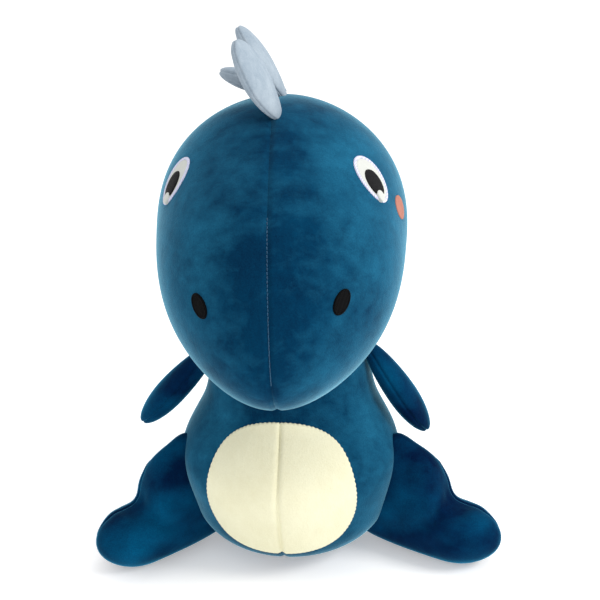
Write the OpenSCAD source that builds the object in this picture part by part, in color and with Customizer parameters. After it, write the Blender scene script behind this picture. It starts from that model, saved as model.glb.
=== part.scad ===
// Sitting plush dinosaur: sewn two-panel covers over soft fillings, with a floppy crest.
// The toy faces -Y and sits on the plane Z = 0. Its own left side is +X.

/* [Head] */
// Length of the head from the muzzle tip to the back
head_len = 240; // [220:1:246]
// Width of the head across the cheeks
head_w = 162; // [150:1:166]
// Height of the head square to its length
head_h = 163; // [150:1:166]
// Angle by which the muzzle points below level
head_droop = 24; // [22:1:26]
// Height of the middle of the head above the ground
head_z = 237; // [236:1:244]

/* [Body] */
// Height of the body up to the top of the neck dome
body_h = 162; // [156:1:163]
// Width of the body across the hips
body_w = 156; // [146:1:160]
// Depth of the body from belly to back
body_d = 148; // [136:1:150]
// Width of the pale belly patch, measured over its curve
belly_w = 112; // [90:1:116]
// Height of the pale belly patch, measured over its curve
belly_h = 105; // [86:1:110]

/* [Arms] */
// Length of each arm from shoulder to tip
arm_len = 74; // [62:1:76]
// Width of each arm from front to back
arm_w = 30; // [24:1:32]
// Thickness of each arm
arm_t = 21; // [17:1:22]
// Angle of the left arm away from straight down
arm_left_angle = 32; // [31:1:45]
// Angle of the right arm away from straight down
arm_right_angle = 43; // [36:1:60]

/* [Legs] */
// Length of each leg from the side of the body to the toe
leg_len = 78; // [70:1:80]
// Height of the thigh
thigh_h = 88; // [76:1:92]
// Thickness of each leg
leg_t = 48; // [40:1:50]
// Angle by which the left foot points away from straight ahead
leg_left_angle = 65; // [60:1:70]
// Angle by which the right foot points away from straight ahead
leg_right_angle = 56; // [53:1:66]

/* [Tail] */
// Length of the tail
tail_len = 84; // [76:1:86]
// Width of the tail at its root
tail_w = 66; // [56:1:70]

/* [Crest] */
// Height of each crest lobe on the head
lobe_h = 56; // [46:1:60]
// Length of each crest lobe along the seam
lobe_len = 38; // [30:1:40]
// Thickness of each crest lobe
lobe_t = 13; // [10:1:14]
// Angle by which the crest flops to the right at rest
lobe_lean = 28; // [20:1:32]

/* [Fabric] */
// Thickness of the plush with its pile
plush_t = 1.5; // [1.2:0.1:2]
// Length of each eye along its slanting oval
eye_h = 34; // [30:1:38]
// Width of each eye
eye_w = 24; // [22:1:28]

/* [Hidden] */

// Colours of the fabrics
teal = "#0f5573";
sky = "#b4c3d2";
cream = "#f5f5d8";
white = "#f2f2ee";
black = "#16161a";
pink = "#d98c78";
fibre = "#ece9e2";

// Open seam between two panels, and the air under a patch and round a filling
seam = 0.3;
layer = 0.25;
fill_air = 1.2;
// Air between the round root of a limb and what it is sewn to
root_air = 0.6;

// Half thickness of a crest lobe at its root, and the thickness of its cloth
lobe_root = lobe_t / 2 * 0.72;
lobe_cloth = 1.2;

// Ring of thread at the neck: its radius, its own thickness and its slope
neck_ring = 24;
neck_thread = 1.2;
neck_slope = 15.5;

// Rings and points round each kind of piece
big_rings = 26;
big_points = 15;
limb_rings = 18;
limb_points = 8;
lobe_rings = 9;
lobe_points = 5;

// The whole toy is moved back so that its box is centred on the origin
centre_y = -12;

// A form is [half length, widths, heights above, heights below, centre heights].
// Each list runs from the far end of the piece to its free end.
head_shape = [0.83, 1.06, 1.00, 0.94, 0.77];
head_form = [
    head_len / 2,
    head_w / 2 * head_shape,
    head_h / 2 * head_shape,
    head_h / 2 * head_shape,
    [0, 0, 0, 0, 0]
];
body_form = [
    body_h / 2,
    body_w / 2 * [1.19, 0.87, 1.00, 1.08, 1.41],
    body_d / 2 * [1.06, 0.84, 1.00, 1.09, 1.43],
    body_d / 2 * [1.06, 0.84, 1.00, 1.09, 1.43],
    [-24, -12, 0, 0, 0]
];
arm_form = [
    arm_len / 2,
    arm_t / 2 * [0.90, 0.98, 1.02, 1.02, 0.95],
    arm_w / 2 * [0.62, 0.84, 1.00, 1.06, 1.00],
    arm_w / 2 * [0.62, 0.84, 1.00, 1.06, 1.00],
    [0, 0, 0, 0, 0]
];
leg_sole = 21;
leg_form = [
    leg_len / 2,
    leg_t / 2 * [1.24, 1.10, 1.02, 1.00, 1.02, 1.06, 1.08, 1.04, 1.00],
    (thigh_h - leg_sole) * [1.60, 1.48, 1.085, 0.82, 0.46, 0.34, 0.345, 0.34, 0.36],
    leg_sole * 1.12 * [1, 1, 1, 1, 1, 1, 1, 1, 1],
    leg_sole * [1, 1, 1, 1, 1, 1, 1, 1, 1]
];
tail_form = [
    tail_len / 2,
    tail_w / 2 * [0.95, 1.00, 0.82, 0.58, 0.44],
    tail_w / 2 * [0.95, 0.98, 0.74, 0.54, 0.44],
    tail_w / 2 * [0.95, 0.98, 0.74, 0.54, 0.44],
    [0, -6, -16, -22, -23]
];
function lobe_form(k) = [
    lobe_h / 2 * k,
    lobe_t / 2 * [0.72, 0.90, 1.04, 1.04, 0.92],
    lobe_len / 2 * k * [0.62, 0.92, 1.06, 1.02, 0.80],
    lobe_len / 2 * k * [0.62, 0.92, 1.06, 1.02, 0.80],
    [0, 0, 0, 0, 0]
];

// A frame is [origin, x axis, y axis, z axis]; a form's free end points along -y.
head_frame = [
    [0, centre_y - 27, head_z],
    [1, 0, 0],
    [0, cos(head_droop), sin(head_droop)],
    [0, -sin(head_droop), cos(head_droop)]
];
body_frame = [[0, centre_y, body_h / 2 - 1.2], [1, 0, 0], [0, 0, 1], [0, -1, 0]];
shoulder = [body_w / 2 * 0.80, centre_y + 3, body_h * 0.86];
hip = [body_w / 2 * 0.98, centre_y - 12, 0];
tail_root = [0, centre_y + body_d / 2 * 1.09, tail_w / 2 * 0.97];

function arm_frame(angle) =
    let (axis = [sin(angle), 0, -cos(angle)])
    [shoulder + axis * (arm_len / 2 - 8), [-cos(angle), 0, -sin(angle)], -axis, [0, 1, 0]];
function leg_frame(angle) =
    let (axis = [sin(angle), -cos(angle), 0])
    [hip + axis * leg_len / 2, [cos(angle), sin(angle), 0], -axis, [0, 0, 1]];
tail_frame = [tail_root + [0, tail_len / 2, 0], [-1, 0, 0], [0, -1, 0], [0, 0, 1]];

// Smooth curve through equally spaced values, for s from -1 to 1
function sample(list, s) =
    let (
        n = len(list) - 1,
        x = (s + 1) / 2 * n,
        i = max(0, min(floor(x), n - 1)),
        t = x - i,
        b = list[i],
        c = list[i + 1],
        a = i > 0 ? list[i - 1] : 2 * b - c,
        d = i + 2 > n ? 2 * c - b : list[i + 2]
    )
    b + t / 2 * (c - a + t * (2 * a - 5 * b + 4 * c - d + t * (3 * (b - c) + d - a)));

// Point of a form's surface: u runs from end to end, v runs round, lift stands proud
function skin(form, u, v, lift = 0) =
    let (
        s = -cos(u),
        tall = sin(v) > 0 ? sample(form[2], s) : sample(form[3], s)
    )
    [
        (sample(form[1], s) + lift) * sin(u) * cos(v),
        -(form[0] + lift) * s,
        sample(form[4], s) + (tall + lift) * sin(u) * sin(v)
    ];

// Point p of a frame in the toy's own frame, kept on or above the ground
function place(frame, p, lift = 0) =
    let (q = frame[0] + frame[1] * p.x + frame[2] * p.y + frame[3] * p.z)
    [q.x, q.y, max(q.z, -lift)];

// Two triangles for the cell between rows a and b of a grid
function cell(a0, a1, b0, b1) = [[a0, a1, b1], [a0, b1, b0]];

// Closed blob inside a form
module blob(frame, form, lift, rings, points) {
    pts = [
        place(frame, skin(form, 0, 0, lift), lift),
        for (i = [1:rings - 1], j = [0:points - 1])
            place(frame, skin(form, 180 * i / rings, 360 * j / points, lift), lift),
        place(frame, skin(form, 180, 0, lift), lift)
    ];
    last = len(pts) - 1;
    function at(i, j) = 1 + (i - 1) * points + j % points;
    faces = [
        for (j = [0:points - 1]) [0, at(1, j), at(1, j + 1)],
        for (i = [1:rings - 2], j = [0:points - 1])
            each cell(at(i, j), at(i + 1, j), at(i, j + 1), at(i + 1, j + 1)),
        for (j = [0:points - 1]) [last, at(rings - 1, j + 1), at(rings - 1, j)]
    ];
    polyhedron(pts, faces);
}

// One sewn panel: the half of a form on the side of +x or -x, as a shell of even thickness
module panel(frame, form, side, rings, points, thick = plush_t) {
    count = (rings - 1) * (points + 1) + 2;
    function row(i, j, lift) =
        let (p = skin(form, 180 * i / rings, -90 + 180 * j / points, lift))
        place(frame, [side * (p.x + seam / 2), p.y, p.z], lift);
    function layer_points(lift) = [
        row(0, 0, lift),
        for (i = [1:rings - 1], j = [0:points]) row(i, j, lift),
        row(rings, 0, lift)
    ];
    function at(i, j) = i == 0 ? 0 : i == rings ? count - 1 : 1 + (i - 1) * (points + 1) + j;
    function strip(j) = [
        for (i = [0:rings - 1])
            each cell(at(i, j), at(i + 1, j), count + at(i, j), count + at(i + 1, j))
    ];
    outer = [
        for (j = [0:points - 1]) [0, at(1, j), at(1, j + 1)],
        for (i = [1:rings - 2], j = [0:points - 1])
            each cell(at(i, j), at(i + 1, j), at(i, j + 1), at(i + 1, j + 1)),
        for (j = [0:points - 1]) [count - 1, at(rings - 1, j + 1), at(rings - 1, j)]
    ];
    inner = [for (f = outer) [f[2] + count, f[1] + count, f[0] + count]];
    rim = concat([for (f = strip(0)) [f[2], f[1], f[0]]], strip(points));
    faces = concat(outer, inner, rim);
    polyhedron(
        concat(layer_points(0), layer_points(-thick)),
        side > 0 ? faces : [for (f = faces) [f[2], f[1], f[0]]]
    );
}

// Filling of a form, clear of the inside of its panels
module filling(frame, form, rings, points) {
    color(fibre) blob(frame, form, -plush_t - fill_air, rings, points);
}

// Point of a patch laid on a form: r and angle are polar, size is [along u, along v] in mm
function patch_point(frame, form, spot, size, tilt, r, angle, lift) =
    let (
        u = spot[0],
        v = spot[1],
        per_u = norm(skin(form, u + 1, v) - skin(form, u - 1, v)) / 2,
        per_v = norm(skin(form, u, v + 1) - skin(form, u, v - 1)) / 2,
        a = r * size[0] / 2 * cos(angle),
        b = r * size[1] / 2 * sin(angle),
        du = (a * cos(tilt) - b * sin(tilt)) / per_u,
        dv = (a * sin(tilt) + b * cos(tilt)) / per_v
    )
    place(frame, skin(form, u + du, v + dv, lift));

// Patch sewn on a form, as a thin shell between two lifts
module patch(frame, form, spot, size, tilt, lifts, rings = 2, points = 24) {
    count = 1 + rings * points;
    pts = [
        for (lift = lifts) each [
            patch_point(frame, form, spot, size, tilt, 0, 0, lift),
            for (k = [1:rings], j = [0:points - 1])
                patch_point(frame, form, spot, size, tilt, k / rings, 360 * j / points, lift)
        ]
    ];
    function at(k, j) = 1 + (k - 1) * points + j % points;
    top = [
        for (j = [0:points - 1]) [count, count + at(1, j), count + at(1, j + 1)],
        for (k = [1:rings - 1], j = [0:points - 1])
            each cell(
                count + at(k, j), count + at(k + 1, j),
                count + at(k, j + 1), count + at(k + 1, j + 1)
            )
    ];
    bottom = [for (f = top) [f[2] - count, f[1] - count, f[0] - count]];
    wall = [
        for (j = [0:points - 1])
            each cell(
                count + at(rings, j), at(rings, j),
                count + at(rings, j + 1), at(rings, j + 1)
            )
    ];
    polyhedron(pts, concat(top, bottom, wall));
}

// Ring of satin stitches round a patch
module patch_ring(frame, form, spot, size, tilt, lifts, width, points = 24) {
    grow = [1, 1 + 2 * width / size[1]];
    pts = [
        for (k = [0:3], j = [0:points - 1])
            patch_point(
                frame, form, spot, size, tilt,
                grow[k == 1 || k == 2 ? 1 : 0], 360 * j / points, lifts[k > 1 ? 1 : 0]
            )
    ];
    function at(k, j) = (k % 4) * points + j % points;
    faces = [
        for (k = [0:3], j = [0:points - 1])
            each cell(at(k, j), at(k, j + 1), at(k + 1, j), at(k + 1, j + 1))
    ];
    polyhedron(pts, faces);
}

// Half of the belly patch, cut along the middle seam of the body
module belly_half(side, rings = 6, points = 14) {
    lifts = [layer, layer + 1.3];
    spot = [100, 90];
    count = 1 + rings * (points + 1);
    function spot_at(r, angle, lift) =
        let (p = patch_point(
            body_frame, body_form, spot, [belly_h, belly_w], 0, r, 180 - angle, lift))
        [side * (abs(p.x) + seam / 2), p.y, p.z];
    pts = [
        for (lift = lifts) each [
            spot_at(0, 0, lift),
            for (k = [1:rings], j = [0:points]) spot_at(k / rings, 180 * j / points, lift)
        ]
    ];
    function at(k, j) = k == 0 ? 0 : 1 + (k - 1) * (points + 1) + j;
    top = [
        for (j = [0:points - 1]) [count, count + at(1, j), count + at(1, j + 1)],
        for (k = [1:rings - 1], j = [0:points - 1])
            each cell(
                count + at(k, j), count + at(k + 1, j),
                count + at(k, j + 1), count + at(k + 1, j + 1)
            )
    ];
    bottom = [for (f = top) [f[2] - count, f[1] - count, f[0] - count]];
    function edge(k0, j0, k1, j1) =
        cell(count + at(k0, j0), at(k0, j0), count + at(k1, j1), at(k1, j1));
    wall = [
        for (j = [0:points - 1]) each edge(rings, j, rings, j + 1),
        for (k = [0:rings - 1]) each edge(k, 0, k + 1, 0),
        for (k = [0:rings - 1]) each edge(k + 1, points, k, points)
    ];
    faces = concat(top, bottom, wall);
    color(cream)
        polyhedron(pts, side > 0 ? faces : [for (f = faces) [f[2], f[1], f[0]]]);
}

// Frame of a crest lobe that stands on the top line of a form at u, leaning to the right
function lobe_frame(frame, form, u, lean, reach) =
    let (
        p = place(frame, skin(form, u, 90)),
        ahead = place(frame, skin(form, u + 2, 90)) - p,
        t = ahead / norm(ahead),
        out = place(frame, skin(form, u, 90, 1)) - p,
        up = (out - t * (out * t)) / norm(out - t * (out * t)),
        axis = up * cos(lean) - [1, 0, 0] * sin(lean),
        across = cross(axis, t),
        hand = across.x < 0 ? -1 : 1,
        hinge = p + up * (lobe_root + root_air)
    )
    [hinge + axis * (reach - lobe_root), hand * across, -axis, -hand * t];

// Each lobe is [u of its place on the seam, size beside the first, lean]
module crest_part(frame, form, lobe, part) {
    shape = lobe_form(lobe[1]);
    at = lobe_frame(frame, form, lobe[0], lobe[2], shape[0]);
    if (part == "left") color(sky) panel(at, shape, 1, lobe_rings, lobe_points, lobe_cloth);
    if (part == "right") color(sky) panel(at, shape, -1, lobe_rings, lobe_points, lobe_cloth);
    if (part == "filling") color(fibre) blob(at, shape, -lobe_cloth - fill_air / 2, lobe_rings, 8);
}

// Lobes along the top seam of the head, the back and the tail
head_lobes = [[75, 1.0, lobe_lean], [52, 0.92, lobe_lean + 3], [28, 0.88, lobe_lean + 32]];
back_lobes = [[62, 0.66, lobe_lean], [84, 0.60, lobe_lean]];
tail_lobes = [[66, 0.54, lobe_lean], [98, 0.46, lobe_lean]];

module head_lobe(i, part) crest_part(head_frame, head_form, head_lobes[i - 1], part);
module back_lobe_row(part) for (b = back_lobes)
    crest_part(
        [body_frame[0], [-1, 0, 0], body_frame[2], -body_frame[3]],
        [body_form[0], body_form[1], body_form[3], body_form[2], -body_form[4]],
        b, part
    );
module tail_lobe_row(part) for (b = tail_lobes)
    crest_part(tail_frame, tail_form, b, part);

module head_cover(side) color(teal) panel(head_frame, head_form, side, big_rings, big_points);
module head_filling() filling(head_frame, head_form, 20, 24);

// The face: each spot is [u, v] on the left of the head, and the right one is its mirror
eye_spot = [87.2, 42.4];
cheek_spot = [86.5, 20.5];
nostril_spot = [130.7, 40];
eye_slant = -58;
eye_edge = 2.3;
pupil_spot = [87.6, 41.0];
module face(spot, size, tilt, lifts, side, tint) color(tint) mirror([side < 0 ? 1 : 0, 0, 0])
    patch(head_frame, head_form, spot, size, tilt, lifts);

module eye_patch(side)
    face(eye_spot, [eye_h, eye_w] - [1, 1] * 2 * eye_edge, eye_slant, [layer, 1.2], side, white);
module eye_rim(side) color(white) mirror([side < 0 ? 1 : 0, 0, 0]) patch_ring(
    head_frame, head_form, eye_spot, [eye_h, eye_w] - [1, 1] * (2 * eye_edge - layer),
    eye_slant, [layer, 2.0], eye_edge);
module pupil(side) face(pupil_spot, [19, 14], eye_slant, [1.2 + layer, 2.2], side, black);
module nostril(side) face(nostril_spot, [19, 12.5], 0, [layer, 1.6], side, black);
module cheek_patch(side) face(cheek_spot, [17, 17], 0, [layer, 1.2], side, pink);

// Ring of thread that closes the neck between the body and the head
module neck_seam() color(teal)
    translate([0, centre_y + 10, body_h - 1.2])
    rotate([neck_slope, 0, 0])
    rotate_extrude($fn = 64) translate([neck_ring, 0]) circle(r = neck_thread, $fn = 20);

module body_cover(side) color(teal) panel(body_frame, body_form, side, 22, 14);
module body_filling() filling(body_frame, body_form, 18, 22);

// Limbs: the left one as it is, the right one its mirror
module limb(side) mirror([side < 0 ? 1 : 0, 0, 0]) children();
function arm_angle(side) = side > 0 ? arm_left_angle : arm_right_angle;
function leg_angle(side) = side > 0 ? leg_left_angle : leg_right_angle;
module arm_panel(side, half) limb(side) color(teal)
    panel(arm_frame(arm_angle(side)), arm_form, half, limb_rings, limb_points);
module arm_filling(side) limb(side) filling(arm_frame(arm_angle(side)), arm_form, 12, 14);
module leg_panel(side, half) limb(side) color(teal)
    panel(leg_frame(leg_angle(side)), leg_form, half, limb_rings + 2, limb_points);
module leg_filling(side) limb(side) filling(leg_frame(leg_angle(side)), leg_form, limb_rings + 2, 14);
module tail_cover(side) color(teal) panel(tail_frame, tail_form, -side, limb_rings, 9);
module tail_filling() filling(tail_frame, tail_form, 14, 16);

head_cover(1);  // head_cover_left
head_cover(-1);  // head_cover_right
head_filling();
eye_patch(1);  // eye_patch_left
eye_patch(-1);  // eye_patch_right
eye_rim(1);  // eye_rim_left
eye_rim(-1);  // eye_rim_right
pupil(1);  // pupil_left
pupil(-1);  // pupil_right
nostril(1);  // nostril_left
nostril(-1);  // nostril_right
cheek_patch(1);  // cheek_patch_left
cheek_patch(-1);  // cheek_patch_right
head_lobe(1, "left");  // crest_1_left_panel
head_lobe(1, "right");  // crest_1_right_panel
head_lobe(1, "filling");  // crest_1_filling
head_lobe(2, "left");  // crest_2_left_panel
head_lobe(2, "right");  // crest_2_right_panel
head_lobe(2, "filling");  // crest_2_filling
head_lobe(3, "left");  // crest_3_left_panel
head_lobe(3, "right");  // crest_3_right_panel
head_lobe(3, "filling");  // crest_3_filling
neck_seam();
body_cover(1);  // body_cover_left
body_cover(-1);  // body_cover_right
body_filling();
belly_half(1);  // belly_patch_left
belly_half(-1);  // belly_patch_right
back_lobe_row("left");  // back_crest_left_panels
back_lobe_row("right");  // back_crest_right_panels
back_lobe_row("filling");  // back_crest_filling
arm_panel(1, 1);  // arm_left_inner_panel
arm_panel(1, -1);  // arm_left_outer_panel
arm_filling(1);  // arm_left_filling
arm_panel(-1, 1);  // arm_right_inner_panel
arm_panel(-1, -1);  // arm_right_outer_panel
arm_filling(-1);  // arm_right_filling
leg_panel(1, -1);  // leg_left_front_panel
leg_panel(1, 1);  // leg_left_back_panel
leg_filling(1);  // leg_left_filling
leg_panel(-1, -1);  // leg_right_front_panel
leg_panel(-1, 1);  // leg_right_back_panel
leg_filling(-1);  // leg_right_filling
tail_cover(1);  // tail_cover_left
tail_cover(-1);  // tail_cover_right
tail_filling();
tail_lobe_row("left");  // tail_crest_left_panels
tail_lobe_row("right");  // tail_crest_right_panels
tail_lobe_row("filling");  // tail_crest_filling
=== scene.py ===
"""Sitting plush dinosaur: sewn covers, embroidered face and floppy crest around the frame.

The toy faces -Y, sits on Z = 0 and its own left side is +X. Sizes are in millimetres unless said.
"""

import logging
import math
from dataclasses import dataclass, field, replace
from enum import Enum
from typing import Callable, Optional, Union

import bmesh
import bpy
from mathutils import Matrix, Vector, noise
from mathutils.bvhtree import BVHTree


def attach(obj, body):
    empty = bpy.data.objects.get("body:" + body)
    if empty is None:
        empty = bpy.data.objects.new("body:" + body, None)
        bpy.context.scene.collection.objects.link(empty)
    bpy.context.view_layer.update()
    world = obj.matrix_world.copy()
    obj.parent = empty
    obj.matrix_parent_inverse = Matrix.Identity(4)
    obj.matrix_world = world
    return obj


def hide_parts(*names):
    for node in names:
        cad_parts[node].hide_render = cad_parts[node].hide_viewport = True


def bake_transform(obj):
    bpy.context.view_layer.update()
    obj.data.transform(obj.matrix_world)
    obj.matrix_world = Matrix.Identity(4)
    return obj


log = logging.getLogger("plush")
MM = 0.001
Number = Union[int, float]
Colour = tuple[float, float, float]
Row = tuple[float, ...]


class Side(Enum):
    """The toy's own left and right."""

    LEFT = 1
    RIGHT = -1

    @property
    def word(self) -> str:
        """The side's name as the frame spells it."""
        return self.name.lower()


# --------------------------------------------------------------------------- shader maths


class Wire:
    """One output socket of a shader tree, with arithmetic that adds Math nodes."""

    def __init__(self, paint: "Paint", socket: bpy.types.NodeSocket) -> None:
        """Keeps the socket and the material it belongs to.

        Args:
            paint: The material under construction.
            socket: The output socket.
        """
        self.paint = paint
        self.socket = socket

    def _math(self, kind: str, *values: Union["Wire", Number], clamp: bool = False) -> "Wire":
        """Adds one Math node.

        Args:
            kind: The Math node's operation.
            values: Its inputs in order.
            clamp: Whether the result is kept from 0 to 1.

        Returns:
            The node's result.
        """
        made = self.paint.node(
            "ShaderNodeMath", {"operation": kind, "use_clamp": clamp}, dict(enumerate(values))
        )
        return Wire(self.paint, made.outputs[0])

    def __add__(self, other: Union["Wire", Number]) -> "Wire":
        """Sum."""
        return self._math("ADD", self, other)

    __radd__ = __add__

    def __sub__(self, other: Union["Wire", Number]) -> "Wire":
        """Difference."""
        return self._math("SUBTRACT", self, other)

    def __rsub__(self, other: Union["Wire", Number]) -> "Wire":
        """Reflected difference."""
        return self._math("SUBTRACT", other, self)

    def __mul__(self, other: Union["Wire", Number]) -> "Wire":
        """Product."""
        return self._math("MULTIPLY", self, other)

    __rmul__ = __mul__

    def step(self, low: float, high: float) -> "Wire":
        """Rises from 0 to 1 as the value goes from low to high.

        Args:
            low: Value that gives 0.
            high: Value that gives 1.

        Returns:
            The clamped ramp.
        """
        scale = 1 / (high - low)
        return self._math("MULTIPLY_ADD", self, scale, -low * scale, clamp=True)

    def size(self) -> "Wire":
        """The value without its sign."""
        return self._math("ABSOLUTE", self)


class Paint:
    """A procedural material under construction."""

    def __init__(self, name: str) -> None:
        """Starts an empty material.

        Args:
            name: The material's name.
        """
        self.material = bpy.data.materials.new(name)
        self.material.use_nodes = True
        self.tree = self.material.node_tree
        self.tree.nodes.clear()
        self.shader = self.node("ShaderNodeBsdfPrincipled", {}, {})
        self.node("ShaderNodeOutputMaterial", {}, {"Surface": Wire(self, self.shader.outputs[0])})

    def node(self, kind: str, settings: dict, values: dict) -> bpy.types.Node:
        """Adds one node.

        Args:
            kind: The node's type.
            settings: Attributes that are set first.
            values: Values or wires for its input sockets, by name or number.

        Returns:
            The node.
        """
        made = self.tree.nodes.new(kind)
        for key, value in settings.items():
            setattr(made, key, value)
        for key, value in values.items():
            if isinstance(value, Wire):
                self.tree.links.new(value.socket, made.inputs[key])
            else:
                made.inputs[key].default_value = value
        return made

    def coords(self, stretch: Row = (1.0, 1.0, 1.0), turn: Row = (0.0, 0.0, 0.0)) -> Wire:
        """The piece's own coordinates, stretched and turned.

        Args:
            stretch: Scale on each axis.
            turn: Turn about each axis, in degrees.

        Returns:
            The vector.
        """
        place = Wire(self, self.node("ShaderNodeTexCoord", {}, {}).outputs["Object"])
        made = self.node(
            "ShaderNodeMapping",
            {},
            {"Vector": place, "Scale": stretch, "Rotation": [math.radians(a) for a in turn]},
        )
        return Wire(self, made.outputs[0])

    def aside(self) -> Wire:
        """Distance from the toy's middle plane, in metres."""
        split = self.node("ShaderNodeSeparateXYZ", {}, {"Vector": self.coords()})
        return Wire(self, split.outputs[0]).size()

    def noise(
        self, size: float, detail: float = 2.0, warp: float = 0.0, coords: Optional[Wire] = None
    ) -> Wire:
        """Soft noise.

        Args:
            size: Size of its patches in millimetres.
            detail: Octaves.
            warp: Distortion.
            coords: Coordinates, or the piece's own.

        Returns:
            A value about 0.5.
        """
        made = self.node(
            "ShaderNodeTexNoise",
            {},
            {
                "Vector": coords or self.coords(),
                "Scale": 1 / (size * MM),
                "Detail": detail,
                "Roughness": 0.55,
                "Distortion": warp,
            },
        )
        return Wire(self, made.outputs["Fac"])

    def mix(
        self, share: Union[Wire, Number], a: Union[Wire, Colour], b: Union[Wire, Colour]
    ) -> Wire:
        """Mixes two colours.

        Args:
            share: How much of b.
            a: First colour.
            b: Second colour.

        Returns:
            The colour.
        """
        made = self.node("ShaderNodeMix", {"data_type": "RGBA"}, {0: share})
        for index, value in ((6, a), (7, b)):
            if isinstance(value, Wire):
                self.tree.links.new(value.socket, made.inputs[index])
            else:
                made.inputs[index].default_value = (*value, 1.0)
        return Wire(self, made.outputs[2])

    def bump(self, height: Wire, depth: float, strength: float = 1.0) -> None:
        """Gives the surface a relief.

        Args:
            height: Height from 0 to 1.
            depth: Its full depth in millimetres.
            strength: Share of the effect.
        """
        made = self.node(
            "ShaderNodeBump", {}, {"Height": height, "Distance": depth * MM, "Strength": strength}
        )
        self.tree.links.new(made.outputs[0], self.shader.inputs["Normal"])

    def set(self, **values: Union[Wire, Number, tuple]) -> None:
        """Sets the shader's sockets; underscores stand for spaces.

        Args:
            values: Socket names and their values or wires.
        """
        for key, value in values.items():
            socket = self.shader.inputs[key.replace("_", " ")]
            if isinstance(value, Wire):
                self.tree.links.new(value.socket, socket)
            else:
                socket.default_value = (*value, 1.0) if isinstance(value, tuple) else value


def srgb(red: int, green: int, blue: int) -> Colour:
    """A screen colour as the linear one that the shader takes.

    Args:
        red: Red from 0 to 255.
        green: Green from 0 to 255.
        blue: Blue from 0 to 255.

    Returns:
        The linear colour.
    """
    return tuple(
        (c / 255 / 12.92) if c < 11 else ((c / 255 + 0.055) / 1.055) ** 2.4
        for c in (red, green, blue)
    )


# --------------------------------------------------------------------------- finishes


@dataclass(frozen=True)
class PlushFinish:
    """Short velvety pile whose colour drifts at random with its brushed nap, plus a painted sheen:
    lighter away from the middle seam.
    """

    name: str
    deep: Colour
    light: Colour
    sheen_tint: Colour
    sheen: float = 0.5
    # Lighter colour for the random nap patches and for the painted sheen on the sides.
    nap_and_sheen: Optional[Colour] = None
    # Share of painted sheen: the lighter colour grows the farther a point is from the toy's middle
    # plane.
    aside: float = 0.34
    strokes: float = 0.55
    patch: float = 46.0
    pile: float = 0.9
    contrast: float = 1.0
    relief: float = 0.35

    def make(self) -> bpy.types.Material:
        """Builds the material.

        Returns:
            The material.
        """
        paint = Paint(self.name)
        drift = paint.noise(self.patch, 2.0, 0.4)
        brushed = paint.noise(self.patch / 3.5, 3.0, 0.6, paint.coords((1.0, 0.8, 0.6)))
        streak = paint.noise(self.pile * 3.4, 3.0, 0.3, paint.coords((1.0, 0.7, 0.4), (20, 0, 12)))
        grain = paint.noise(self.pile, 2.0)
        nap = (drift * 0.66 + brushed * 0.34).step(0.36, 0.68)
        share = nap * (0.56 * self.contrast) + (streak - 0.5) * (0.6 * self.contrast)
        share = (share + (grain - 0.5) * (0.7 * self.contrast) + 0.16).step(0.0, 1.0)
        tint = paint.mix(share, self.deep, self.light)
        if self.nap_and_sheen:
            field = paint.noise(self.patch, 1.0, 0.0, paint.coords(turn=(40, 25, 60)))
            lean = paint.coords((0.7, 1.0, 1.1), (0, 30, 0))
            stroke = paint.noise(self.patch / 5, 5.0, 0.25, lean)
            # Painted sheen: the lighter colour grows away from the middle plane and stands in for
            # the sheen on the sides.
            away = paint.aside().step(8 * MM, 75 * MM) * self.aside
            nap_and_sheen = field * (1.2 - self.strokes) + stroke * self.strokes + away
            nap_and_sheen = nap_and_sheen.step(0.54, 1.08)
            tint = paint.mix((nap_and_sheen + (grain - 0.5) * nap_and_sheen).step(0.0, 1.0), tint, self.nap_and_sheen)
        paint.set(
            Base_Color=tint,
            Roughness=0.92,
            Specular_IOR_Level=0.04,
            Sheen_Weight=self.sheen,
            Sheen_Roughness=0.3,
            Sheen_Tint=self.sheen_tint,
        )
        paint.bump(grain * 0.6 + streak * 0.4, self.relief, 0.7)
        return paint.material


@dataclass(frozen=True)
class StitchFinish:
    """Satin stitches of shiny thread, laid side by side across a shape."""

    name: str
    base: Colour
    shade: Colour
    pitch: float = 0.55
    turn: Row = (0.0, 0.0, 30.0)
    gloss: float = 0.42
    spec: float = 0.45

    def make(self) -> bpy.types.Material:
        """Builds the material.

        Returns:
            The material.
        """
        paint = Paint(self.name)
        made = paint.node(
            "ShaderNodeTexWave",
            {"wave_type": "BANDS", "bands_direction": "X"},
            {
                "Vector": paint.coords(turn=self.turn),
                "Scale": 1 / (self.pitch * MM) / 6.28,
                "Distortion": 0.6,
                "Detail": 2.0,
                "Detail Scale": 3.0,
            },
        )
        thread = Wire(paint, made.outputs["Fac"])
        fluff = paint.noise(1.6, 3.0)
        share = (thread * 0.6 + fluff * 0.5 - 0.1).step(0.0, 1.0)
        paint.set(
            Base_Color=paint.mix(share, self.shade, self.base),
            Roughness=(fluff * 0.25 + self.gloss).step(0.0, 1.0),
            Specular_IOR_Level=self.spec,
        )
        paint.bump(thread * 0.8 + fluff * 0.2, 0.22, 0.8)
        return paint.material


@dataclass(frozen=True)
class FibreFinish:
    """Loose polyester filling."""

    name: str = "fibre_fill"
    base: Colour = srgb(236, 233, 226)
    shade: Colour = srgb(205, 202, 196)

    def make(self) -> bpy.types.Material:
        """Builds the material.

        Returns:
            The material.
        """
        paint = Paint(self.name)
        fibre = paint.noise(6.0, 6.0, 2.0, paint.coords((1.0, 0.3, 1.0)))
        paint.set(Base_Color=paint.mix(fibre, self.shade, self.base), Roughness=0.95)
        paint.bump(fibre, 1.0, 0.6)
        return paint.material


class Slot(Enum):
    """The record's material slots."""

    BODY = "body_plush"
    CREST = "crest_plush"
    BELLY = "belly_plush"
    EYE = "eye_white"
    SATIN = "satin_thread"
    BLACK = "black_thread"
    CHEEK = "cheek_velour"
    SEAM = "seam_thread"
    FILL = "fibre_fill"


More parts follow.
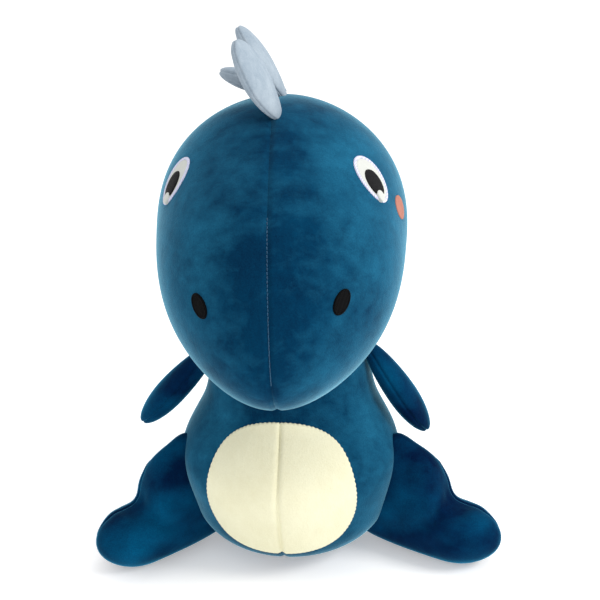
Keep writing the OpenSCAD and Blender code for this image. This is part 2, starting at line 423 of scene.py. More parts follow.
FINISHES = {
    # Head, body and tail plush: besides its random nap patches, its lighter colour is painted on
    # away from the middle seam as a painted sheen.
    "teal": PlushFinish(
        "teal_plush", srgb(0, 34, 62), srgb(0, 60, 92), (0.3, 0.64, 0.8), sheen=1.0,
        nap_and_sheen=srgb(26, 96, 128),
    ),
    # Darker copy of the teal plush for the limbs: painted shade. Its lighter patches fall at
    # random.
    "shaded_teal": PlushFinish(
        "shaded_teal_plush", srgb(0, 14, 46), srgb(0, 40, 76), (0.08, 0.55, 0.85), sheen=1.0,
        nap_and_sheen=srgb(0, 88, 128), aside=0.0, strokes=0.2, patch=40.0,
    ),
    "sky": PlushFinish(
        "sky_plush", srgb(134, 149, 163), srgb(180, 191, 200), (0.8, 0.9, 1.0), sheen=0.2,
        patch=22.0, pile=0.7, contrast=0.8, relief=0.25,
    ),
    "cream": PlushFinish(
        "cream_plush", srgb(226, 222, 190), srgb(238, 236, 208), (1.0, 1.0, 0.9), sheen=0.15,
        patch=40.0, pile=1.1, contrast=0.9, relief=0.6,
    ),
    "white": PlushFinish(
        "white_velour", srgb(196, 198, 194), srgb(214, 216, 210), (1.0, 1.0, 1.0), sheen=0.1,
        patch=12.0, pile=0.5, contrast=0.6, relief=0.15,
    ),
    "pink": PlushFinish(
        "pink_velour", srgb(166, 108, 94), srgb(190, 136, 120), (1.0, 0.8, 0.75), sheen=0.1,
        patch=10.0, pile=0.5, contrast=0.7, relief=0.15,
    ),
    "satin": StitchFinish("white_satin", srgb(236, 236, 244), srgb(176, 176, 216), gloss=0.35),
    "black": StitchFinish("black_satin", srgb(14, 14, 19), srgb(1, 1, 3), turn=(0.0, 0.0, 75.0),
        gloss=0.5, spec=0.15),
    "jet": StitchFinish("jet_satin", srgb(6, 6, 8), srgb(1, 1, 2), gloss=0.6, spec=0.08),
    "thread": StitchFinish("teal_thread", srgb(24, 92, 128), srgb(4, 44, 76), pitch=0.4),
    "fibre": FibreFinish(),
}


class Dresser:
    """Makes each finish once and puts it on pieces."""

    def __init__(self) -> None:
        """Starts with no material made."""
        self.made: dict[str, bpy.types.Material] = {}

    def dress(self, piece: bpy.types.Object, finish: str, slot: Optional[Slot] = None) -> None:
        """Puts a finish on a piece.

        Args:
            piece: The piece.
            finish: Key of the finish.
            slot: The record's slot, for a new piece; not used.
        """
        if finish not in self.made:
            self.made[finish] = FINISHES[finish].make()
        piece.data.materials.clear()
        piece.data.materials.append(self.made[finish])


DRESSER = Dresser()


# --------------------------------------------------------------------------- forms


def shares(size: float, row: Row) -> Row:
    """Half a size times each share in a row."""
    return tuple(size / 2 * a for a in row)


def flipped(a: Row) -> Row:
    """A point or direction on the other side of the toy."""
    return (-a[0], a[1], a[2])


def sample(row: Row, s: float) -> float:
    """Smooth curve through equally spaced values.

    Args:
        row: The values, from the far end to the free end.
        s: Place from -1 to 1.

    Returns:
        The value there.
    """
    x = (s + 1) / 2 * (len(row) - 1)
    i = max(0, min(int(x), len(row) - 2))
    t = x - i
    b, c = row[i], row[i + 1]
    a = row[i - 1] if i > 0 else 2 * b - c
    d = row[i + 2] if i + 2 < len(row) else 2 * c - b
    return b + t / 2 * (c - a + t * (2 * a - 5 * b + 4 * c - d + t * (3 * (b - c) + d - a)))


@dataclass(frozen=True)
class Form:
    """A stuffed shape: cross-sections along its own y axis, whose free end points along -y."""

    half: float
    wide: Row
    over: Row
    under: Row
    centre: Row = (0.0, 0.0)
    origin: Row = (0.0, 0.0, 0.0)
    x_axis: Row = (1.0, 0.0, 0.0)
    y_axis: Row = (0.0, 1.0, 0.0)
    z_axis: Row = (0.0, 0.0, 1.0)
    root: float = 0.0
    blunt: float = 1.0
    crown: Optional[float] = None
    tip: float = 1.0

    def point(self, d: Vector) -> Vector:
        """Point of the surface in a direction.

        Args:
            d: Unit direction.

        Returns:
            The point in the form's own frame, in millimetres.
        """
        s = max(-1.0, min(1.0, -d.y))
        tall = sample(self.over if d.z > 0 else self.under, s)
        ring = max(math.hypot(d.x, d.z), 1e-3)
        grow = ring ** ((self.blunt if d.y > 0 else self.tip) - 1)
        tall_grow = grow
        if self.crown is not None and d.y > 0 and d.z > 0:
            tall_grow = ring ** (self.crown - 1)
        back = self.root * d.y**2 if d.y > 0 else 0.0
        return Vector(
            (
                sample(self.wide, s) * d.x * grow,
                self.half * d.y + back,
                sample(self.centre, s) + tall * d.z * tall_grow,
            )
        )

    def spot(self, u: float, v: float) -> Vector:
        """Point of the surface from its angles.

        Args:
            u: Angle from the far end, in degrees.
            v: Angle round, in degrees.

        Returns:
            The point in the toy's frame, in metres.
        """
        u, v = math.radians(u), math.radians(v)
        d = Vector((math.sin(u) * math.cos(v), math.cos(u), math.sin(u) * math.sin(v)))
        return self.matrix() @ (self.point(d) * MM)

    def matrix(self) -> Matrix:
        """The form's frame in the toy's frame, in metres."""
        columns = [Vector(a) for a in (self.x_axis, self.y_axis, self.z_axis)]
        made = Matrix.Identity(4)
        for k, column in enumerate(columns):
            for row in range(3):
                made[row][k] = column[row]
        made.translation = Vector(self.origin) * MM
        return made

    def beyond(self, past: float) -> Vector:
        """Point of the form's own axis, in metres, a few millimetres past its far end."""
        return self.matrix() @ Vector((0, (self.half + past) * MM, 0))

    def mirrored(self) -> "Form":
        """The same form on the other side of the toy."""
        keys = ("origin", "x_axis", "y_axis", "z_axis")
        return replace(self, **{key: flipped(getattr(self, key)) for key in keys})


@dataclass(frozen=True)
class Crease:
    """A fold pressed into a form along a line of points given in the form's own frame."""

    points: tuple[Row, ...]
    width: float
    depth: float

    def sink(self, p: Vector) -> float:
        """How far a point sinks into the fold.

        Args:
            p: Point in the form's frame, in metres.

        Returns:
            Depth in millimetres.
        """
        best = 1e9
        line = [Vector(q) * MM for q in self.points]
        for a, b in zip(line, line[1:]):
            t = max(0.0, min(1.0, (p - a).dot(b - a) / (b - a).length_squared))
            best = min(best, (p - a.lerp(b, t)).length)
        return self.depth * math.exp(-((best / (self.width * MM)) ** 2))


# --------------------------------------------------------------------------- sewing


def ball(cells: int) -> bmesh.types.BMesh:
    """A round ball of square cells with no poles.

    Args:
        cells: Cells along each of the six faces.

    Returns:
        The mesh, with a radius of 1.
    """
    bm = bmesh.new()
    bmesh.ops.create_cube(bm, size=2.0)
    bmesh.ops.subdivide_edges(bm, edges=bm.edges[:], cuts=cells - 1, use_grid_fill=True)
    for v in bm.verts:
        v.co = Vector([math.tan(c * math.pi / 4) for c in v.co]).normalized()
    return bm


def new_piece(name: str, bm: bmesh.types.BMesh) -> bpy.types.Object:
    """Turns a bmesh into a piece at the origin.

    Args:
        name: The piece's name.
        bm: Its mesh, which is freed.

    Returns:
        The piece.
    """
    mesh = bpy.data.meshes.new(name)
    for f in bm.faces:
        f.smooth = True
    bm.to_mesh(mesh)
    bm.free()
    piece = bpy.data.objects.new(name, mesh)
    bpy.context.scene.collection.objects.link(piece)
    return piece


def rounded(piece: bpy.types.Object, cloth: float = 0.0) -> bpy.types.Object:
    """Gives a piece the thickness of its cloth and one subdivision.

    Args:
        piece: The piece.
        cloth: Thickness in millimetres, or 0 for a closed piece.

    Returns:
        The piece.
    """
    if cloth:
        shell = piece.modifiers.new("cloth", "SOLIDIFY")
        shell.thickness = cloth * MM
        shell.offset = -1.0
    soften = piece.modifiers.new("soften", "SUBSURF")
    soften.levels = soften.render_levels = 1
    return piece


def joined(name: str, pieces: list[bpy.types.Object]) -> bpy.types.Object:
    """Makes one piece of several, which are removed.

    Args:
        name: The new piece's name.
        pieces: The pieces.

    Returns:
        The new piece.
    """
    whole = bmesh.new()
    for piece in pieces:
        whole.from_mesh(piece.data)
        bpy.data.objects.remove(piece)
    return new_piece(name, whole)


def cut(bm: bmesh.types.BMesh, place: Row, normal: Row, clear: bool = False) -> None:
    """Cuts a mesh along a plane.

    Args:
        bm: The mesh.
        place: A point of the plane.
        normal: The plane's normal.
        clear: Whether what lies behind the plane is removed.
    """
    bmesh.ops.bisect_plane(
        bm,
        geom=bm.verts[:] + bm.edges[:] + bm.faces[:],
        dist=1e-6,
        plane_co=place,
        plane_no=normal,
        clear_inner=clear,
    )


STUFFING_FRAMES = 20


def stuff(piece: bpy.types.Object, cap: Callable[[Vector], float], pressure: float = 4.0) -> None:
    """Fills a closed cover with a cloth simulation, and applies the result.

    Args:
        piece: The closed cover, in its own frame and in metres.
        cap: How far a point may move, in metres.
        pressure: Pressure of the filling.
    """
    cloth = piece.modifiers.new("filling", "CLOTH")
    cloth.settings.quality = 4
    cloth.settings.mass = 0.3
    cloth.settings.tension_stiffness = 15
    cloth.settings.compression_stiffness = 15
    cloth.settings.bending_stiffness = 0.8
    cloth.settings.use_pressure = True
    cloth.settings.uniform_pressure_force = pressure
    cloth.settings.effector_weights.gravity = 0
    cloth.point_cache.frame_start = 1
    cloth.point_cache.frame_end = STUFFING_FRAMES
    for step in range(1, STUFFING_FRAMES + 1):
        bpy.context.scene.frame_set(step)
    graph = bpy.context.evaluated_depsgraph_get()
    full = [v.co.copy() for v in piece.evaluated_get(graph).data.vertices]
    piece.modifiers.remove(cloth)
    bpy.context.scene.frame_set(1)
    for v, goal in zip(piece.data.vertices, full):
        move, limit = goal - v.co, cap(v.co)
        v.co += move * min(1.0, limit / max(move.length, 1e-9))


SEAM_REACH = 9.0
SEAM_ROWS = (0.35, 0.9, 1.7)
RIM_OVERLAP, HEM_OVERLAP = 0.25, 0.7


@dataclass
class Sewn:
    """A stuffed shape of two panels that meet in a seam round its middle plane."""

    form: Form
    cells: int
    puff: float = 2.4
    slack: float = 1.4
    groove: float = 1.6
    spread: float = 1.7
    pucker: float = 0.0
    pucker_pitch: float = 7.0
    cloth: float = 1.2
    turn_in: float = 3.0
    full: float = 0.93
    seam_shift: float = 0.0
    creases: tuple[Crease, ...] = ()
    ground: bool = True
    shape: Optional[Callable[[Vector], Vector]] = None
    whole: Optional[bmesh.types.BMesh] = field(default=None, repr=False)

    def sew(self) -> None:
        """Makes the closed cover, fills it and keeps it as the whole."""
        bm = ball(self.cells)
        for v in bm.verts:
            v.co = self.form.point(v.co) * MM
        bm.normal_update()
        for v, normal in [(v, v.normal.copy()) for v in bm.verts]:
            v.co -= normal * self.slack * MM
        draft = new_piece("draft", bm)
        edge = self.puff * 0.35

        def cap(p: Vector) -> float:
            """How far a point may swell: less beside the seam than away from it.

            Args:
                p: The point, in metres.

            Returns:
                The limit, in metres.
            """
            far = min(1.0, abs(p.x) / (SEAM_REACH * MM))
            return (edge + (self.puff - edge) * far * far * (3 - 2 * far)) * MM

        stuff(draft, cap)
        self.whole = bmesh.new()
        self.whole.from_mesh(draft.data)
        bpy.data.objects.remove(draft)

    def panel(self, name: str, half: int) -> bpy.types.Object:
        """One panel: half of the cover, with its edge drawn into the seam and turned in.

        Args:
            name: The panel's name.
            half: 1 for the half on the side of the form's +x, -1 for the other.

        Returns:
            The piece.
        """
        bm = self.whole.copy()
        shift = Vector((self.seam_shift * MM, 0.0, 0.0))
        bmesh.ops.translate(bm, vec=-shift, verts=bm.verts[:])
        cut(bm, (0, 0, 0), (half, 0, 0), clear=True)
        for share in SEAM_ROWS:
            cut(bm, (half * self.spread * share * MM, 0, 0), (half, 0, 0))
        bm.normal_update()
        world = self.form.matrix()
        for v, p, normal in [(v, v.co.copy(), v.normal.copy()) for v in bm.verts]:
            away = abs(p.x) / (self.spread * MM)
            sink = self.groove * math.exp(-away * away)
            if self.pucker:
                wave = noise.noise(Vector((0.0, p.y, p.z)) / (self.pucker_pitch * MM))
                sink += self.pucker * (0.5 + wave) * math.exp(-((away / 3.5) ** 2))
            for crease in self.creases:
                sink += crease.sink(p + shift)
            v.co = p - normal * sink * MM
        rim = [e for e in bm.edges if e.is_boundary]
        for v in {v for e in rim for v in e.verts}:
            v.co.x = -half * RIM_OVERLAP * MM
        turned = bmesh.ops.extrude_edge_only(bm, edges=rim)["geom"]
        for v in turned:
            if isinstance(v, bmesh.types.BMVert):
                inward = Vector((0.0, v.co.y, v.co.z))
                v.co -= inward.normalized() * self.turn_in * MM
                v.co.x = -half * HEM_OVERLAP * MM
        bmesh.ops.translate(bm, vec=shift, verts=bm.verts[:])
        bmesh.ops.transform(bm, matrix=world, verts=bm.verts[:])
        if world.determinant() < 0:
            bmesh.ops.reverse_faces(bm, faces=bm.faces[:])
        for v in bm.verts:
            if self.shape:
                v.co = self.shape(v.co)
            if self.ground:
                v.co.z = max(v.co.z, 0.0)
        return rounded(new_piece(name, bm), self.cloth)

    def filling(self, name: str) -> bpy.types.Object:
        """The fibre inside the cover, clear of its cloth.

        Args:
            name: The piece's name.

        Returns:
            The piece.
        """
        bm = self.whole.copy()
        middle = sum((v.co for v in bm.verts), Vector()) / len(bm.verts)
        for v in bm.verts:
            v.co = middle.lerp(v.co, self.full)
        world = self.form.matrix()
        bmesh.ops.transform(bm, matrix=world, verts=bm.verts[:])
        if world.determinant() < 0:
            bmesh.ops.reverse_faces(bm, faces=bm.faces[:])
        for v in bm.verts:
            v.co.z = max(v.co.z, (self.cloth + 0.8) * MM) if self.ground else v.co.z
        return new_piece(name, bm)


class Surface:
    """The outside of some sewn panels, to lay other pieces on."""

    def __init__(self, *panels: bpy.types.Object) -> None:
        """Reads the panels as they are shown.

        Args:
            panels: The panels.
        """
        graph = bpy.context.evaluated_depsgraph_get()
        points, faces = [], []
        for panel in panels:
            mesh = panel.evaluated_get(graph).to_mesh()
            base = len(points)
            points += [v.co.copy() for v in mesh.vertices]
            faces += [[base + i for i in f.vertices] for f in mesh.polygons]
            panel.evaluated_get(graph).to_mesh_clear()
        self.tree = BVHTree.FromPolygons(points, faces)

    def drop(self, p: Vector, outward: Vector, lift: float) -> Vector:
        """Lays a point on the surface.

        Args:
            p: Point near the surface, in metres.
            outward: Direction away from the piece.
            lift: How far the point stands proud, in millimetres.

        Returns:
            The point laid.
        """
        hit = self.tree.ray_cast(p + outward * 20 * MM, -outward)[0]
        return (hit if hit is not None else p) + outward * lift * MM


@dataclass
class Spot:
    """A place on a form where a flat design is laid: its own x runs along u and y along v."""

    form: Form
    surface: Surface
    u: float
    v: float
    tilt: float = 0.0
    mirror: bool = False

    def lay(self, bm: bmesh.types.BMesh) -> None:
        """Lays a design built flat, in millimetres, with z as its lift.

        Args:
            bm: The design, which is changed.
        """
        du = self.form.spot(self.u + 1, self.v) - self.form.spot(self.u - 1, self.v)
        per_u = du.length / 2 / MM
        c, s = math.cos(math.radians(self.tilt)), math.sin(math.radians(self.tilt))
        for v in bm.verts:
            a, b, lift = v.co
            u = self.u + (a * c - b * s) / per_u
            dv = self.form.spot(u, self.v + 1) - self.form.spot(u, self.v - 1)
            w = self.v + (a * s + b * c) / (dv.length / 2 / MM)
            w = 180 - w if self.mirror else w
            p = self.form.spot(u, w)
            pu = self.form.spot(u + 0.5, w) - self.form.spot(u - 0.5, w)
            pv = self.form.spot(u, w + 0.5) - self.form.spot(u, w - 0.5)
            outward = pu.cross(pv).normalized()
            if outward.dot(p - Vector(self.form.origin) * MM) < 0:
                outward.negate()
            v.co = self.surface.drop(p, outward, lift)


def disc(
    cells: int, size: tuple[float, float], dome: float, edge: float, square: float = 0.0
) -> bmesh.types.BMesh:
    """A flat patch with a domed face and a rounded edge.

    Args:
        cells: Cells across.
        size: Its length and width.
        dome: Lift at the middle.
        edge: Lift at the edge, before it turns down.
        square: How far its outline swells towards its corners.

    Returns:
        The design.
    """
    bm = bmesh.new()
    bmesh.ops.create_grid(bm, x_segments=cells, y_segments=cells, size=1.0)
    for v in bm.verts:
        x, y = v.co.x, v.co.y
        v.co.x, v.co.y = x * math.sqrt(1 - y * y / 2), y * math.sqrt(1 - x * x / 2)
        r = min(1.0, math.hypot(v.co.x, v.co.y))
        v.co.z = edge + (dome - edge) * (1 - r**4)
    rim = [e for e in bm.edges if e.is_boundary]
    for grow, lift in ((1.015, edge * 0.45), (1.01, -0.9)):
        made = bmesh.ops.extrude_edge_only(bm, edges=rim)["geom"]
        for v in made:
            if isinstance(v, bmesh.types.BMVert):
                v.co.x *= grow
                v.co.y *= grow
                v.co.z = lift
        rim = [e for e in made if isinstance(e, bmesh.types.BMEdge) and e.is_boundary]
    for v in bm.verts:
        swell = 1 + square * abs(math.sin(2 * math.atan2(v.co.y, v.co.x))) ** 2
        v.co.x *= size[0] / 2 * swell
        v.co.y *= size[1] / 2 * swell
    return bm


def ring(size: tuple[float, float], width: float, height: float, steps: int) -> bmesh.types.BMesh:
    """A raised ring of stitches.

    Args:
        size: Length and width along the middle of the ring.
        width: Its own width.
        height: Its own height.
        steps: Steps round.

    Returns:
        The design.
    """
    bm = bmesh.new()
    made = bmesh.ops.create_circle(bm, segments=10, radius=1.0)
    for v in made["verts"]:
        v.co = Vector((1 + v.co.x * 0.1, 0.0, v.co.y * 0.1))
    bmesh.ops.spin(
        bm,
        geom=bm.verts[:] + bm.edges[:],
        cent=(0, 0, 0),
        axis=(0, 0, 1),
        dvec=(0, 0, 0),
        angle=2 * math.pi,
        steps=steps,
        use_merge=True,
        use_duplicate=False,
    )
    bmesh.ops.remove_doubles(bm, verts=bm.verts[:], dist=1e-4)
    bmesh.ops.recalc_face_normals(bm, faces=bm.faces[:])
    for v in bm.verts:
        r = math.hypot(v.co.x, v.co.y)
        out = (r - 1) * 10
        cx, cy = v.co.x / r, v.co.y / r
        normal = Vector((cx * size[1], cy * size[0])).normalized()
        lift = v.co.z * 10
        v.co = Vector(
            (
                cx * size[0] / 2 + normal.x * out * width / 2,
                cy * size[1] / 2 + normal.y * out * width / 2,
                0.2 + max(lift, -0.6) * height,
            )
        )
    return bm


# --------------------------------------------------------------------------- the toy's parts


@dataclass
class Part:
    """A sub-assembly of the toy, which reports its pieces."""

    def ride(
        self, piece: bpy.types.Object, body: str, finish: str, slot: Slot, *nodes: str
    ) -> bpy.types.Object:
        """Dresses a piece and fixes it to a body.

        Args:
            piece: The piece.
            body: The body it moves with.
            finish: Key of its finish.
            slot: The record's slot.
            nodes: Nodes of the frame that it stands for.

        Returns:
            The piece.
        """
        DRESSER.dress(piece, finish, slot)
        if nodes:
            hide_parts(*nodes)
        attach(piece, body)
        log.info("%s rides on %s", piece.name, body)
        return piece

    def bend(
        self,
        piece: bpy.types.Object,
        bodies: tuple[str, str],
        start: Row,
        end: Row,
        finish: str,
        slot: Slot,
        *nodes: str,
    ) -> bpy.types.Object:
        """Dresses a piece and hides the frame's nodes that it stands for; it is not made to bend,
        nor fixed to a body.

        Args:
            piece: The piece.
            bodies: The two bodies.
            start: Where it would leave the first, in metres; not used.
            end: Where it would wholly follow the second, in metres; not used.
            finish: Key of its finish.
            slot: The record's slot.
            nodes: Nodes of the frame that it stands for.

        Returns:
            The piece.
        """
        DRESSER.dress(piece, finish, slot)
        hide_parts(*nodes)
        tuple(start)
        tuple(end)
        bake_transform(piece)
        log.info("%s bends between %s and %s", piece.name, *bodies)
        return piece

    def stuff(self, cover: Sewn, name: str, body: str) -> None:
        """Puts the filling inside a cover.

        Args:
            cover: The cover.
            name: The filling's name.
            body: The body it moves with.
        """
        self.ride(cover.filling(name), body, "fibre", Slot.FILL, name)


@dataclass
class Head(Part):
    """The big head: two side panels and an embroidered face."""

    length: float = 248.0
    width: float = 163.5
    height: float = 163.0
    droop: float = 24.0
    roll: float = 1.7
    stitches: Row = (112.0, 172.0, 1.25)
    stitch: Row = (2.6, 0.8, 0.7)
    glint: tuple[float, float] = (7.6, 6.6)
    glint_step: tuple[float, float] = (3.3, -4.0)
    rise: float = 237.2
    shift: float = -41.8
    section: Row = (0.83, 1.06, 1.00, 0.94, 0.77)
    eye: tuple[float, float] = (34.0, 24.0)
    eye_edge: float = 2.3
    eye_spot: tuple[float, float] = (87.8, 42.2)
    eye_slant: float = -58.0
    right_drift: tuple[float, float] = (-3.0, -2.6)
    left_drift: tuple[float, float] = (0.0, -0.8)
    pupil: tuple[float, float] = (19.0, 14.0)
    pupil_spot: tuple[float, float] = (89.1, 41.0)
    nostril: tuple[float, float] = (17.0, 10.2)
    nostril_spot: tuple[float, float] = (130.7, 40.0)
    cheek: float = 15.5
    cheek_drift: float = 10.5
    cheek_spot: tuple[float, float] = (86.3, 7.5)

    def form(self) -> Form:
        """The head's form."""
        c, s = math.cos(math.radians(self.droop)), math.sin(math.radians(self.droop))
        along = Vector((0.0, c, s))
        turn = Matrix.Rotation(math.radians(self.roll), 3, -along)
        return Form(
            half=self.length / 2,
            wide=shares(self.width, self.section),
            over=shares(self.height, self.section),
            under=shares(self.height, self.section),
            origin=(0.0, self.shift, self.rise),
            x_axis=tuple(turn @ Vector((1.0, 0.0, 0.0))),
            y_axis=tuple(along),
            z_axis=tuple(turn @ Vector((0.0, -s, c))),
        )

    def build(self) -> Surface:
        """Builds the head and its face.

        Returns:
            The head's surface.
        """
        cover = Sewn(self.form(), cells=32, puff=2.0, slack=0.9, groove=1.2, pucker=0.2)
        cover.sew()
        panels = []
        for side in Side:
            panel = cover.panel(f"head_cover_{side.word}", side.value)
            self.ride(panel, "head", "teal", Slot.BODY, f"head_cover_{side.word}")
            panels.append(panel)
        self.stuff(cover, "head_filling", "head")
        surface = Surface(*panels)
        for side in Side:
            self.face(surface, side)
        self.stitch_seam(surface)
        return surface

    def stitch_seam(self, surface: Surface) -> None:
        """Sews the row of small stitches down the muzzle's seam.

        Args:
            surface: The head's surface.
        """
        made = []
        first, last, step = self.stitches
        for i in range(int((last - first) / step)):
            bm = bmesh.new()
            bmesh.ops.create_uvsphere(bm, u_segments=8, v_segments=6, radius=0.5)
            for v in bm.verts:
                x, y, z = (a * b for a, b in zip(v.co, self.stitch))
                v.co = Vector((x, y + 0.1 * (i % 2), z + 0.15))
            Spot(self.form(), surface, first + i * step, 90.0).lay(bm)
            bmesh.ops.recalc_face_normals(bm, faces=bm.faces[:])
            made.append(new_piece("stitch", bm))
        self.ride(joined("head_seam_stitches", made), "head", "thread", Slot.SEAM)

    def face(self, surface: Surface, side: Side) -> None:
        """Embroiders one side of the face.

        Args:
            surface: The head's surface.
            side: Which side.
        """
        word = side.word

        def put(name: str, bm: bmesh.types.BMesh, spot: tuple, tilt: float, finish: str,
                slot: Slot, *nodes: str) -> None:
            """Lays one patch of the face and fixes it to the head.

            Args:
                name: The piece's name.
                bm: Its flat design.
                spot: Its angles on the head.
                tilt: Its turn, in degrees.
                finish: Key of its finish.
                slot: The record's slot.
                nodes: Nodes of the frame that it stands for.
            """
            place = Spot(self.form(), surface, *spot, tilt=tilt, mirror=side is Side.RIGHT)
            place.lay(bm)
            bmesh.ops.recalc_face_normals(bm, faces=bm.faces[:])
            self.ride(rounded(new_piece(name, bm)), "head", finish, slot, *nodes)

        drift = self.right_drift if side is Side.RIGHT else self.left_drift
        eye_spot = tuple(a + b for a, b in zip(self.eye_spot, drift))
        pupil_spot = tuple(a + b for a, b in zip(self.pupil_spot, drift))
        inner = tuple(a - 2 * self.eye_edge for a in self.eye)
        middle = tuple(a - self.eye_edge for a in self.eye)
        put(f"eye_patch_{word}", disc(16, inner, 1.1, 0.7), eye_spot, self.eye_slant,
            "white", Slot.EYE, f"eye_patch_{word}")
        put(f"eye_rim_{word}", ring(middle, self.eye_edge, 0.9, 72), eye_spot,
            self.eye_slant, "satin", Slot.SATIN, f"eye_rim_{word}")
        put(f"pupil_{word}", disc(14, self.pupil, 2.0, 1.5), pupil_spot, self.eye_slant,
            "black", Slot.BLACK, f"pupil_{word}")
        glint_spot = tuple(a + b for a, b in zip(pupil_spot, self.glint_step))
        put(f"eye_glint_{word}", disc(8, self.glint, 2.6, 2.2), glint_spot, self.eye_slant,
            "white", Slot.EYE)
        put(f"nostril_{word}", disc(14, self.nostril, 1.2, 1.0), self.nostril_spot, 0.0,
            "jet", Slot.BLACK, f"nostril_{word}")
        put(f"nostril_rim_{word}", ring(tuple(a - 1.6 for a in self.nostril), 1.8, 1.3, 56),
            self.nostril_spot, 0.0, "jet", Slot.BLACK)
        set_back = (self.cheek_spot[0], self.cheek_spot[1] + self.cheek_drift * side.value)
        put(f"cheek_patch_{word}", disc(12, (self.cheek, self.cheek), 0.9, 0.6), set_back, 0.0,
            "pink", Slot.CHEEK, f"cheek_patch_{word}")


@dataclass
class Torso(Part):
    """The pear-shaped body: two side panels and the pale belly."""

    tall: float = 162.0
    width: float = 156.0
    depth: float = 148.0
    shift: float = -12.0
    wide_shares: Row = (1.19, 0.87, 1.00, 1.08, 1.41)
    deep_shares: Row = (1.06, 0.84, 1.00, 1.09, 1.43)
    centre: Row = (-24.0, -12.0, 0.0, 0.0, 0.0)
    belly: tuple[float, float] = (98.5, 112.0)
    belly_u: float = 99.2
    teeth: float = 16.0
    tooth: float = 0.016
    twist: float = -4.0
    neck_y: float = 0.0
    neck_radius: float = 36.0
    neck_reach: float = 62.0
    neck_depth: float = 6.0
    neck_floor: float = 110.0
    neck_bend: tuple[float, float] = (0.148, 0.166)

    def form(self) -> Form:
        """The body's form: its y axis points up and its z axis to the front."""
        deep = shares(self.depth, self.deep_shares)
        return Form(
            half=self.tall / 2,
            wide=shares(self.width, self.wide_shares),
            over=deep,
            under=deep,
            centre=self.centre,
            origin=(0.0, self.shift, self.tall / 2 - 1.2),
            y_axis=(0.0, 0.0, 1.0),
            z_axis=(0.0, -1.0, 0.0),
        )

    def sewn_neck(self, head: Surface) -> Callable[[Vector], Vector]:
        """Says how the body turns a little under the head and its top is drawn up to it.

        Args:
            head: The head's surface.

        Returns:
            A function that moves a point given in metres.
        """
        turn = Matrix.Rotation(math.radians(self.twist), 4, "Z")
        up = Vector((0, 0, 1))

        def move(p: Vector) -> Vector:
            """Moves one point of the body.

            Args:
                p: The point, in metres.

            Returns:
                Where it goes.
            """
            p = turn @ p
            r = (p - Vector((0, self.neck_y * MM, p.z))).length / MM
            if p.z < self.neck_floor * MM or r > self.neck_reach:
                return p
            hit = head.tree.ray_cast(Vector((p.x, p.y, 0.1)), up)[0]
            if hit is None:
                return p
            share = min(1.0, (self.neck_reach - r) / (self.neck_reach - self.neck_radius))
            share = share * share * (3 - 2 * share)
            gap = hit.z + self.neck_depth * MM - p.z
            return p + up * max(0.0, gap) * share

        return move

    def build(self, head: Surface) -> Surface:
        """Builds the body.

        Args:
            head: The head's surface, which the neck is sewn to.

        Returns:
            The body's surface.
        """
        cover = Sewn(
            self.form(), cells=30, puff=2.0, slack=1.0, groove=1.1, pucker=0.25,
            shape=self.sewn_neck(head),
        )
        cover.sew()
        panels = []
        start, end = ((0, 0, z) for z in self.neck_bend)
        for side in Side:
            node = f"body_cover_{side.word}"
            panel = cover.panel(node, side.value)
            panels.append(panel)
            self.bend(panel, ("body", "neck"), start, end, "teal", Slot.BODY, node)
        self.stuff(cover, "body_filling", "body")
        return Surface(*panels)

    def lay_belly(self, surface: Surface) -> None:
        """Lays the two halves of the pale belly.

        Args:
            surface: The body's surface.
        """
        for side in Side:
            bm = disc(90, self.belly, 1.3, 1.0, square=0.02)
            for v in bm.verts:
                r = math.hypot(v.co.x / self.belly[0], v.co.y / self.belly[1]) * 2
                if r > 0.99:
                    turn = math.atan2(v.co.y, v.co.x)
                    zig = abs((turn * self.teeth) % 1 - 0.5) * 2 - 0.5
                    v.co.x *= 1 + self.tooth * zig
                    v.co.y *= 1 + self.tooth * zig
            for offset in (0.0, 0.7, 1.5):
                cut(bm, (0, -side.value * offset, 0), (0, -side.value, 0), offset == 0.0)
            for v in bm.verts:
                away = abs(v.co.y) / 1.1
                v.co.z -= 0.8 * math.exp(-away * away)
            Spot(self.form(), surface, self.belly_u, 90 - self.twist).lay(bm)
            bmesh.ops.recalc_face_normals(bm, faces=bm.faces[:])
            node = f"belly_patch_{side.word}"
            self.ride(rounded(new_piece(node, bm)), "body", "cream", Slot.BELLY, node)


@dataclass
class Limb(Part):
    """A stuffed limb of two panels, sewn to the body at its far end."""

    side: Side
    angle: float
    length: float = 0.0

    def attach(self, cover: Sewn, kind: str, panels: dict[str, int], bends: Row) -> None:
        """Sews and fills the limb and dresses its panels; only the filling is fixed to a body.

        Args:
            cover: Its cover.
            kind: What limb it is.
            panels: Names of its two panels and the half of the cover each one is.
            bends: Where it would start and end to bend, in millimetres past its far end; the bend
                is not made.
        """
        cover.sew()
        name = f"{kind}_{self.side.word}"
        start, end = (cover.form.beyond(past) for past in bends)
        for word, half in panels.items():
            node = f"{name}_{word}_panel"
            # The limb panels wear the darker copy of the teal plush, painted shade.
            self.bend(cover.panel(node, half), ("body", name), start, end, "shaded_teal", Slot.BODY, node)
        self.stuff(cover, f"{name}_filling", name)


